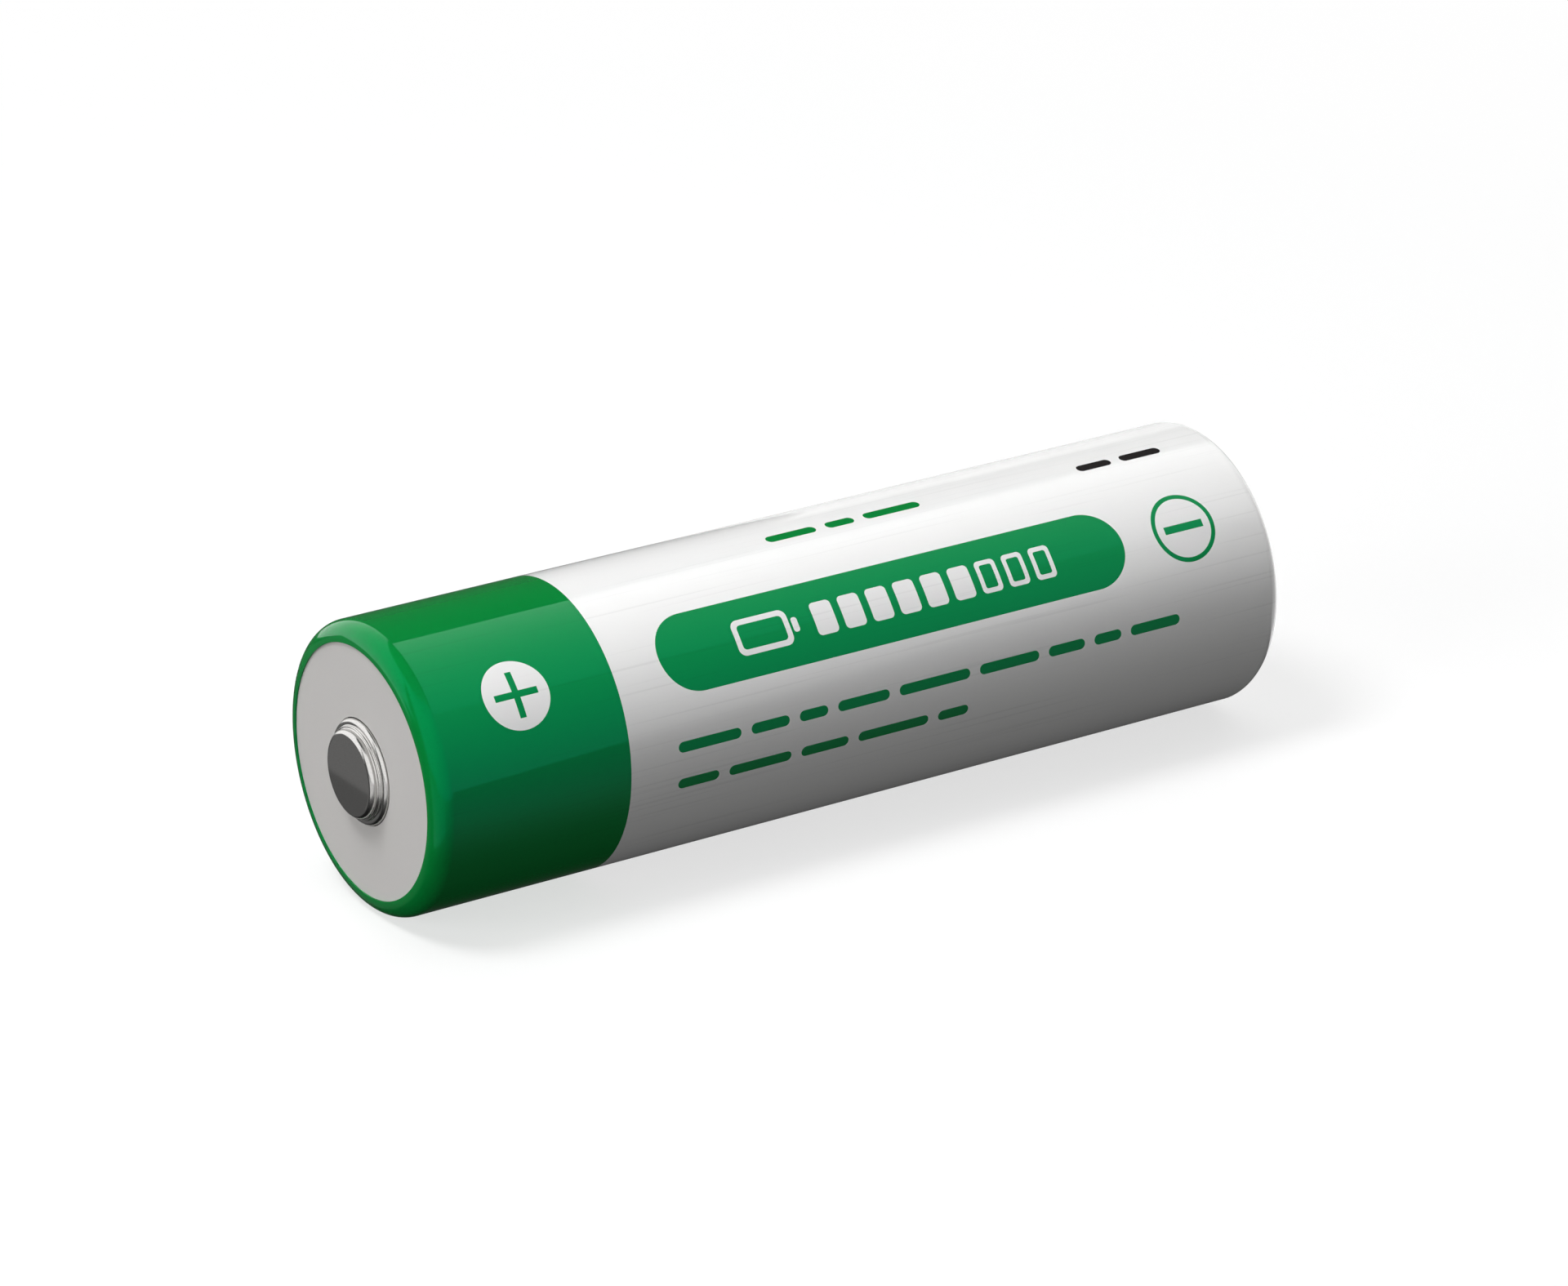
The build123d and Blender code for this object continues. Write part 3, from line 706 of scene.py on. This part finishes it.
def paper(name, colour, fibre=0.05, roughness=0.75):
    """Pressed paper or fibre board, with short fibres lying in its face."""
    look = Look(name, colour, roughness)
    fibres = look.noise(3.0, stretch=(1, 1, 2.6), detail=6, roughness=0.75)
    cloud = look.noise(0.35, detail=2)
    shade = look.maths("MULTIPLY", fibres, look.spread(cloud, 0.9, 1.1))
    look.set("Base Color", look.tint(shade, colour, fibre))
    look.set("Roughness", look.spread(fibres, roughness - 0.08, roughness + 0.08))
    look.bump(fibres, 0.012, 0.5)
    return look.material


def moulded(name, colour, roughness=0.45, grain=4.0, depth=0.006, **settings):
    """Moulded plastic, with a fine even texture and slight colour drift."""
    look = Look(name, colour, roughness, **settings)
    texture = look.noise(grain, detail=3)
    drift = look.noise(0.4, detail=1)
    look.set("Base Color", look.tint(drift, colour, 0.05))
    look.set("Roughness", look.spread(texture, roughness - 0.08, roughness + 0.08))
    look.bump(texture, depth, 0.5)
    return look.material


def tape(name, colour):
    """Glossy adhesive tape, with small creases and trapped air."""
    look = Look(name, colour, 0.18, Coat_Weight=0.6, Coat_Roughness=0.06)
    creases = look.noise(0.9, look.round, stretch=(1, 0.35, 1), detail=4, roughness=0.6)
    look.set("Base Color", look.tint(creases, colour, 0.16))
    look.set("Roughness", look.spread(creases, 0.12, 0.30))
    look.bump(creases, 0.02, 0.5)
    return look.material


def electrode(name, colour, speckle, shine):
    """Coated foil: matt powder with bright specks and faint rolling bands."""
    look = Look(name, colour, 0.8)
    powder = look.noise(11.0, look.round, detail=4, roughness=0.8)
    bands = look.noise(0.5, look.round, stretch=(1, 0.05, 1), detail=2)
    specks = look.spread(powder, 0.0, 1.0, start=0.60, end=0.66)
    base = look.tint(bands, colour, 0.12)
    look.set("Base Color", look.mix(look.maths("MULTIPLY", specks, shine), base, speckle))
    look.set("Roughness", look.spread(powder, 0.65, 0.9))
    look.bump(powder, 0.010, 0.6)
    return look.material


def carbon_polymer(name):
    """Black filled polymer of the fuse ring between its two grey foil faces."""
    foil, core = (0.42, 0.42, 0.43), (0.018, 0.018, 0.02)
    foil_depth = 0.04
    look = Look(name, core, 0.5)
    low, high = (corner.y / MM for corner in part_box("ptc_ring"))
    off_middle = look.maths("ABSOLUTE", look.maths("SUBTRACT", look.y, (low + high) / 2))
    on_face = look.maths("GREATER_THAN", off_middle, (high - low) / 2 - foil_depth)
    grain = look.noise(6.0, detail=4)
    look.set("Base Color", look.mix(on_face, look.tint(grain, core, 0.3), look.tint(grain, foil, 0.06)))
    look.set("Metallic", on_face)
    look.set("Roughness", look.spread(grain, 0.38, 0.6))
    look.bump(grain, 0.008, 0.4)
    return look.material


def laminate(name):
    """Green board: solder mask over copper tracks, with the edge of bare glass fibre."""
    mask, track, glass = (0.006, 0.12, 0.045), (0.02, 0.21, 0.075), (0.50, 0.47, 0.26)
    edge_depth = 0.06
    look = Look(name, mask, 0.3)
    gap_pattern = {"Scale": 0.55, "Mortar Size": 0.035, "Mortar Smooth": 0.1}
    bricks = look.node("ShaderNodeTexBrick", {"Vector": look.join(look.x, look.z, 0.0), **gap_pattern})
    on_track = look.maths("SUBTRACT", 1.0, bricks.outputs[1])
    edge = look.maths("GREATER_THAN", look.radius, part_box("protection_board")[1].x / MM - edge_depth)
    weave = look.noise(7.0, detail=3)
    face = look.mix(on_track, look.tint(weave, mask, 0.12), look.tint(weave, track, 0.08))
    look.set("Base Color", look.mix(edge, face, look.tint(weave, glass, 0.15)))
    look.set("Roughness", look.spread(weave, 0.24, 0.40))
    look.bump(look.maths("ADD", on_track, look.maths("MULTIPLY", weave, 0.15)), 0.03, 0.6)
    return look.material


def tinned_part(name, body, is_metal, roughness=0.55):
    """Board component: a moulded or fired body with bright tinned ends or leads."""
    tin = (0.62, 0.62, 0.60)
    look = Look(name, body, roughness)
    mask = is_metal(look)
    grain = look.noise(9.0, detail=4)
    look.set("Base Color", look.mix(mask, look.tint(grain, body, 0.18), look.tint(grain, tin, 0.08)))
    look.set("Metallic", mask)
    look.set("Roughness", look.spread(grain, roughness - 0.15, roughness + 0.05))
    look.bump(grain, 0.008, 0.5)
    return look.material


def on_leads(look):
    """The chips' leads are the low layer that lies on the board."""
    lead_height = 0.125
    return look.maths("GREATER_THAN", look.y, BOARD_FACE - lead_height)


def on_ends(node, axis, cap):
    """Both ends of a small two-ended part; its parts stand in a row across that axis."""
    low, high = (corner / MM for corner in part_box(node))
    start, end = getattr(low, axis), getattr(high, axis)
    middle, half = (start + end) / 2, (end - start) / 2
    shift = AXIS_HEIGHT if axis == "z" else 0.0

    def mask(look):
        away = look.maths("ABSOLUTE", look.maths("SUBTRACT", getattr(look, axis), middle - shift))
        return look.maths("GREATER_THAN", away, half - cap)

    return mask


def dress_cad_nodes():
    """Gives every CAD node that stays in view its own material."""
    nickel = (0.66, 0.64, 0.59)
    resistor_ends = on_ends("chip_resistors", "x", 0.3)
    capacitor_ends = on_ends("chip_capacitors", "z", 0.35)
    looks = {
        "cover_washer": paper("washer_paper", (0.60, 0.585, 0.57), fibre=0.02, roughness=0.6),
        "sense_strip": rolled_metal("strip_nickel", nickel, (1, 0.05, 1)),
        "strip_insulation_tape": tape("amber_tape", (0.62, 0.22, 0.02)),
        "crimp_insulator_ring": paper("white_fibre_ring", (0.80, 0.79, 0.75)),
        "steel_can": drawn_steel("can_steel"),
        "crimp_gasket": moulded("gasket_polymer", (0.74, 0.78, 0.80), 0.35, Subsurface_Weight=0.25),
        "top_cap": drawn_steel("cap_steel", (0.52, 0.515, 0.505)),
        "ptc_ring": carbon_polymer("fuse_polymer"),
        "interrupter_insulator": moulded("seat_plastic", (0.84, 0.84, 0.81)),
        "interrupter_plate": aluminium("plate_aluminium"),
        "weld_slug": aluminium("slug_aluminium", (0.70, 0.71, 0.72)),
        "separator_inner": moulded("separator_film_a", (0.86, 0.87, 0.88), 0.4, grain=14.0),
        "separator_outer": moulded("separator_film_b", (0.84, 0.855, 0.87), 0.42, grain=14.0),
        "cathode_strip": electrode("cathode_coat", (0.018, 0.018, 0.021), (0.30, 0.30, 0.32), 0.5),
        "anode_strip": electrode("anode_coat", (0.055, 0.052, 0.050), (0.42, 0.40, 0.38), 0.8),
        "winding_tape": tape("blue_tape", (0.03, 0.13, 0.42)),
        "positive_tab": rolled_metal("tab_aluminium", (0.79, 0.80, 0.81), (1, 0.05, 1)),
        "negative_tab": rolled_metal("tab_nickel", nickel, (1, 0.05, 1)),
        "centre_pin": drawn_steel("pin_steel", (0.45, 0.45, 0.45)),
        "top_insulator": paper("top_fibre", (0.74, 0.71, 0.60)),
        "bottom_insulator": paper("bottom_fibre", (0.72, 0.69, 0.58)),
        "board_insulator": paper("fish_paper", (0.16, 0.20, 0.14), fibre=0.15),
        "protection_board": laminate("board_laminate"),
        "power_switch_chips": tinned_part("switch_epoxy", (0.014, 0.014, 0.015), on_leads),
        "protection_chip": tinned_part("chip_epoxy", (0.016, 0.016, 0.018), on_leads),
        "chip_resistors": tinned_part("resistor_film", (0.010, 0.010, 0.013), resistor_ends, 0.4),
        "chip_capacitors": tinned_part("capacitor_fired", (0.34, 0.19, 0.085), capacitor_ends),
        "board_tab": rolled_metal("board_tab_nickel", nickel, (0.05, 1, 1)),
    }
    for node, material in looks.items():
        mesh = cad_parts[node].data
        mesh.materials.clear()
        mesh.materials.append(material)


# ---- Studio ----------------------------------------------------------------------------------------
CELL_MIDDLE = Vector((0, 0, AXIS_HEIGHT))
FLOOR_SHADE = 0.34  # share of the floor's brightness that a shadow can take
FLOOR_SHADE_START, FLOOR_SHADE_END = 90.0, 240.0  # the shadow fades out between these, mm


def towards(azimuth, elevation):
    """Unit vector from the cell; azimuth 0 is -Y and 90 is +X."""
    a, e = radians(azimuth), radians(elevation)
    return Vector((sin(a) * cos(e), -cos(a) * cos(e), sin(e)))


def aim(thing, place, target):
    thing.location = place * MM
    thing.rotation_mode = "QUATERNION"
    thing.rotation_quaternion = (target - place).to_track_quat("-Z", "Y")


def reflector(name, azimuth, elevation, width, height, radiance, roll=0.0, distance=3000.0):
    """Glowing panel, seen only in reflections; its width and height are in degrees, seen from the cell."""
    reach = Vector((tan(radians(width / 2)), tan(radians(height / 2)), 0)) * distance * MM
    tilt = Matrix.Rotation(radians(roll), 3, "Z")
    sides = ((-1, -1), (1, -1), (1, 1), (-1, 1))
    corners = [tuple(tilt @ Vector((across * reach.x, up * reach.y, 0))) for across, up in sides]
    mesh = bpy.data.meshes.new(name)
    mesh.from_pydata(corners, [], [(0, 1, 2, 3)])
    material = bpy.data.materials.new(name)
    material.use_nodes = True
    tree = material.node_tree
    tree.nodes.clear()
    glow = tree.nodes.new("ShaderNodeEmission")
    glow.inputs["Strength"].default_value = radiance
    result = tree.nodes.new("ShaderNodeOutputMaterial")
    tree.links.new(glow.outputs[0], result.inputs["Surface"])
    mesh.materials.append(material)
    panel = bpy.data.objects.new(name, mesh)
    bpy.context.scene.collection.objects.link(panel)
    aim(panel, CELL_MIDDLE + towards(azimuth, elevation) * distance, CELL_MIDDLE)
    panel.visible_camera = False
    panel.visible_diffuse = False
    panel.visible_shadow = False


def soft_light(name, azimuth, elevation, size, power, distance=600.0):
    """Round area light that shapes matt shading but isn't mirrored in the film or the metal."""
    light = bpy.data.lights.new(name, "AREA")
    light.shape = "DISK"
    light.size = size * MM
    light.energy = power
    lamp = bpy.data.objects.new(name, light)
    bpy.context.scene.collection.objects.link(lamp)
    aim(lamp, CELL_MIDDLE + towards(azimuth, elevation) * distance, CELL_MIDDLE)
    lamp.visible_camera = False
    lamp.visible_glossy = False


def studio_world():
    """Dim room that is white where the camera sees it; reflections see it darker to the left and below."""
    world = bpy.data.worlds.new("studio")
    world.use_nodes = True
    bpy.context.scene.world = world
    tree = world.node_tree
    nodes, links = tree.nodes, tree.links
    nodes.clear()
    where = nodes.new("ShaderNodeTexCoord")
    split = nodes.new("ShaderNodeSeparateXYZ")
    links.new(where.outputs["Generated"], split.inputs[0])

    def ramp(source, start, end, low, high):
        """Strength that eases from low to high as a part of the direction goes from start to end."""
        made = nodes.new("ShaderNodeMapRange")
        made.interpolation_type = "SMOOTHSTEP"
        links.new(source, made.inputs["Value"])
        for socket, value in zip(("From Min", "From Max", "To Min", "To Max"), (start, end, low, high)):
            made.inputs[socket].default_value = value
        return made.outputs[0]

    path = nodes.new("ShaderNodeLightPath")
    matt = ramp(split.outputs["X"], -0.6, 1.0, 0.115, 0.165)
    gloss_side = ramp(split.outputs["X"], -0.3, 0.8, 0.06, 0.62)
    gloss_height = ramp(split.outputs["Z"], -0.90, -0.30, 0.12, 1.0)
    gloss = nodes.new("ShaderNodeMath")
    gloss.operation = "MULTIPLY"
    links.new(gloss_side, gloss.inputs[0])
    links.new(gloss_height, gloss.inputs[1])
    product = nodes.new("ShaderNodeMix")
    links.new(path.outputs["Is Glossy Ray"], product.inputs["Factor"])
    links.new(matt, product.inputs[2])
    links.new(gloss.outputs[0], product.inputs[3])
    room = nodes.new("ShaderNodeBackground")
    links.new(product.outputs[0], room.inputs["Strength"])
    white = nodes.new("ShaderNodeBackground")
    white.inputs["Strength"].default_value = 1.0
    mix = nodes.new("ShaderNodeMixShader")
    links.new(path.outputs["Is Camera Ray"], mix.inputs["Fac"])
    links.new(room.outputs[0], mix.inputs[1])
    links.new(white.outputs[0], mix.inputs[2])
    result = nodes.new("ShaderNodeOutputWorld")
    links.new(mix.outputs[0], result.inputs["Surface"])
    room.inputs["Color"].default_value = (1, 1, 1, 1)
    white.inputs["Color"].default_value = (1, 1, 1, 1)


def studio_floor():
    """Pale floor: shaded near the cell, evenly bright further out and clear from below."""
    radius, sides, drop = 1600 * MM, 96, 0.01 * MM
    angles = [2 * pi * i / sides for i in range(sides)]
    mesh = bpy.data.meshes.new("floor")
    mesh.from_pydata([(radius * cos(a), radius * sin(a), -drop) for a in angles], [], [tuple(range(sides))])
    look = Look("pale_floor", (0, 0, 0), 1.0, Specular_IOR_Level=0.0)
    reach = look.maths("SQRT", look.dot(look.place, look.place))
    shown = look.spread(reach, 1.0, 0.0, FLOOR_SHADE_START, FLOOR_SHADE_END)
    look.set("Base Color", look.mix(shown, (0, 0, 0), (FLOOR_SHADE,) * 3))
    look.set("Emission Color", (1, 1, 1))
    look.set("Emission Strength", look.spread(shown, 1.0, 1 - FLOOR_SHADE, 0.0, 1.0))
    from_below = look.node("ShaderNodeNewGeometry").outputs["Backfacing"]
    look.set("Alpha", look.maths("SUBTRACT", 1.0, from_below))
    mesh.materials.append(look.material)
    floor = bpy.data.objects.new("floor", mesh)
    bpy.context.scene.collection.objects.link(floor)
    floor.visible_diffuse = False
    floor.visible_glossy = False
    floor.visible_shadow = False


def studio():
    """Panels for the reflections and lamps for the matt shading, each aimed at the cell."""
    studio_world()
    studio_floor()
    # name, azimuth, elevation, width, height, radiance
    reflector("box_right", 74, 28, 96, 74, 1.25)
    reflector("box_left", -64, 28, 82, 74, 1.4)
    reflector("wing_right", 19, 30, 30, 62, 1.25, distance=3100)
    reflector("wing_left", -26, 34, 30, 56, 1.4, distance=3100)
    reflector("box_top", 180, 52.5, 62, 27, 1.65)
    reflector("card_low", 27, -24, 62, 28, 0.8)
    reflector("card_behind", -135.4, -8, 30, 44, 0.75)
    reflector("box_end", 180, 1.5, 78, 73, 2.4)
    reflector("card_face", -56, -17, 24, 16.17, 0.175, roll=-32.87)
    reflector("card_face_low", -61, -28, 50, 30, 0.11, distance=3400)
    # name, azimuth, elevation, size in mm, power in W
    soft_light("key_steep", -10, 64, 220, 2.2)
    soft_light("key_front", 9, 20, 340, 1.42)
    soft_light("key_top", 210, 75, 700, 1.34)
    soft_light("fill_back", 225, 2, 420, 1.5)


def studio_camera():
    """The camera, a little above the cell and well to the right of its positive end."""
    data = bpy.data.cameras.new("camera")
    data.lens = CAMERA_LENS
    data.sensor_width = 36.0
    data.clip_start, data.clip_end = 0.01, 10.0
    camera = bpy.data.objects.new("camera", data)
    bpy.context.scene.collection.objects.link(camera)
    place = CAMERA_AIM + towards(CAMERA_AZIMUTH, CAMERA_ELEVATION) * CAMERA_DISTANCE
    aim(camera, place, CAMERA_AIM)
    bpy.context.scene.camera = camera


# ---- Build -----------------------------------------------------------------------------------------
shrink_sleeve()
button_contact()
negative_contact()
vent_disc()
dress_cad_nodes()
studio()
studio_camera()
bpy.context.scene.view_settings.view_transform = "Standard"
